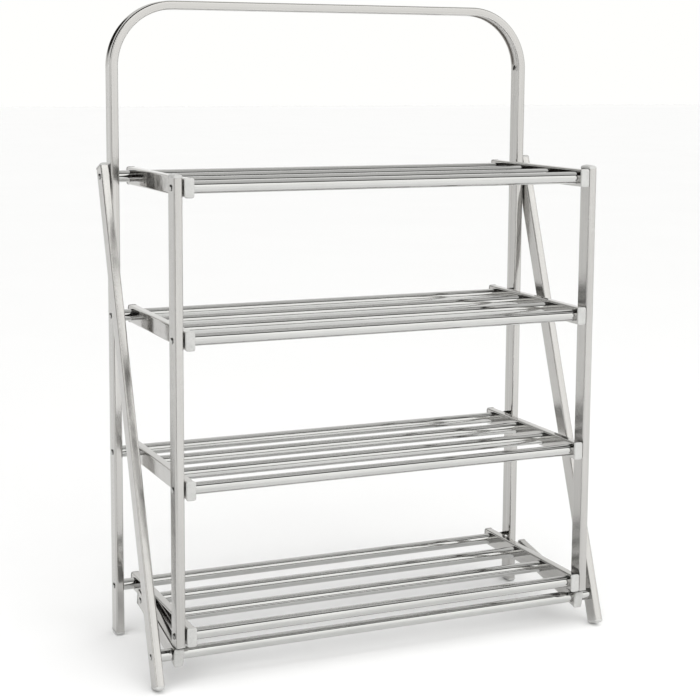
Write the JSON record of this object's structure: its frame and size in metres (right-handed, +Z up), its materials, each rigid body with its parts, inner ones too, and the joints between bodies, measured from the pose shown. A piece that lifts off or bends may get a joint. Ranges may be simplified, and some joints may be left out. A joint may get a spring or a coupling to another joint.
{
  "type": "tiered shoe rack",
  "caption": "Free-standing folding shoe rack: a tall hooped rear frame with level tube shelves on pivots, upright front posts and slanting front legs tied to the lowest shelf by link arms.",
  "frame": {"origin": "on the floor, at the middle of the rack's footprint", "axes": "+X to the rack's right as seen from the front, -Y towards the front, +Z up; every pivot is parallel to X"},
  "size_m": [0.6702, 0.2597, 0.882],
  "materials": {
    "polished_steel": "bright polished stainless tube",
    "rivet_steel": "plain satin steel",
    "cap_plastic": "pale grey moulded plastic",
    "foot_plastic": "pale grey soft-gloss plastic",
    "nylon": "dark nylon"
  },
  "bodies": {
    "rear_frame": {"hoop_frame": "polished_steel", "rear_feet": "foot_plastic"},
    "front_legs": {"front_leg_left": "polished_steel", "front_leg_right": "polished_steel", "front_leg_top_caps": "cap_plastic", "front_feet": "foot_plastic", "front_cross_tube": "polished_steel", "cross_tube_plugs": "nylon", "cross_tube_rivets": "rivet_steel", "leg_washers": "nylon"},
    "post_left": {"post_left": "polished_steel", "post_left_bottom_cap": "cap_plastic", "post_left_top_cap": "cap_plastic"},
    "link_left": {"link_left": "polished_steel", "link_left_caps": "cap_plastic", "link_left_rivet": "rivet_steel"},
    "post_right": {"post_right": "polished_steel", "post_right_bottom_cap": "cap_plastic", "post_right_top_cap": "cap_plastic"},
    "link_right": {"link_right": "polished_steel", "link_right_caps": "cap_plastic", "link_right_rivet": "rivet_steel"},
    "tier_1": {"tier_1_axle_tube": "polished_steel", "tier_1_pivot_rivets": "rivet_steel", "tier_1_rail_caps": "cap_plastic", "tier_1_rail_left": "polished_steel", "tier_1_rail_right": "polished_steel", "tier_1_shelf_tube_1": "polished_steel", "tier_1_shelf_tube_2": "polished_steel", "tier_1_shelf_tube_3": "polished_steel", "tier_1_tube_plugs": "nylon"},
    "tier_2": {"tier_2_axle_tube": "polished_steel", "tier_2_pivot_rivets": "rivet_steel", "tier_2_rail_caps": "cap_plastic", "tier_2_rail_left": "polished_steel", "tier_2_rail_right": "polished_steel", "tier_2_shelf_tube_1": "polished_steel", "tier_2_shelf_tube_2": "polished_steel", "tier_2_shelf_tube_3": "polished_steel", "tier_2_tube_plugs": "nylon"},
    "tier_3": {"tier_3_axle_tube": "polished_steel", "tier_3_pivot_rivets": "rivet_steel", "tier_3_rail_caps": "cap_plastic", "tier_3_rail_left": "polished_steel", "tier_3_rail_right": "polished_steel", "tier_3_shelf_tube_1": "polished_steel", "tier_3_shelf_tube_2": "polished_steel", "tier_3_shelf_tube_3": "polished_steel", "tier_3_tube_plugs": "nylon"},
    "tier_4": {"tier_4_axle_tube": "polished_steel", "tier_4_pivot_rivets": "rivet_steel", "tier_4_rail_caps": "cap_plastic", "tier_4_rail_left": "polished_steel", "tier_4_rail_right": "polished_steel", "tier_4_shelf_tube_1": "polished_steel", "tier_4_shelf_tube_2": "polished_steel", "tier_4_shelf_tube_3": "polished_steel", "tier_4_tube_plugs": "nylon"}
  },
  "joints": [
    {"name": "tier_4_fold", "type": "hinge", "parent": "rear_frame", "child": "tier_4", "pos_m": [0, 0.113, 0.07], "axis": [-1, 0, 0], "range_deg": [0, 78]},
    {"name": "tier_3_fold", "type": "hinge", "parent": "rear_frame", "child": "tier_3", "pos_m": [0, 0.113, 0.2615], "axis": [-1, 0, 0], "range_deg": [0, 78]},
    {"name": "tier_2_fold", "type": "hinge", "parent": "rear_frame", "child": "tier_2", "pos_m": [0, 0.113, 0.453], "axis": [-1, 0, 0], "range_deg": [0, 78]},
    {"name": "tier_1_fold", "type": "hinge", "parent": "rear_frame", "child": "tier_1", "pos_m": [0, 0.113, 0.6445], "axis": [-1, 0, 0], "range_deg": [0, 78]},
    {"name": "post_left_pivot", "type": "hinge", "parent": "tier_4", "child": "post_left", "pos_m": [-0.2986, -0.115, 0.07], "axis": [1, 0, 0], "range_deg": [0, 78]},
    {"name": "post_right_pivot", "type": "hinge", "parent": "tier_4", "child": "post_right", "pos_m": [0.2986, -0.115, 0.07], "axis": [1, 0, 0], "range_deg": [0, 78]},
    {"name": "front_legs_pivot", "type": "hinge", "parent": "rear_frame", "child": "front_legs", "pos_m": [0, 0.113, 0.6445], "axis": [1, 0, 0], "range_deg": [0, 14.55]},
    {"name": "link_left_pivot", "type": "hinge", "parent": "front_legs", "child": "link_left", "pos_m": [-0.2986, -0.104, 0.0425], "axis": [1, 0, 0], "range_deg": [0, 47]},
    {"name": "link_right_pivot", "type": "hinge", "parent": "front_legs", "child": "link_right", "pos_m": [0.2986, -0.104, 0.0425], "axis": [1, 0, 0], "range_deg": [0, 47]}
  ],
  "couplings": [
    {"joint": "tier_3_fold", "follows": "tier_4_fold", "ratio": 1},
    {"joint": "tier_2_fold", "follows": "tier_4_fold", "ratio": 1},
    {"joint": "tier_1_fold", "follows": "tier_4_fold", "ratio": 1},
    {"joint": "post_left_pivot", "follows": "tier_4_fold", "ratio": 1},
    {"joint": "post_right_pivot", "follows": "tier_4_fold", "ratio": 1},
    {"joint": "front_legs_pivot", "follows": "tier_4_fold", "ratio": 0.18643},
    {"joint": "link_left_pivot", "follows": "tier_4_fold", "ratio": 0.6021},
    {"joint": "link_right_pivot", "follows": "tier_4_fold", "ratio": 0.6021}
  ]
}
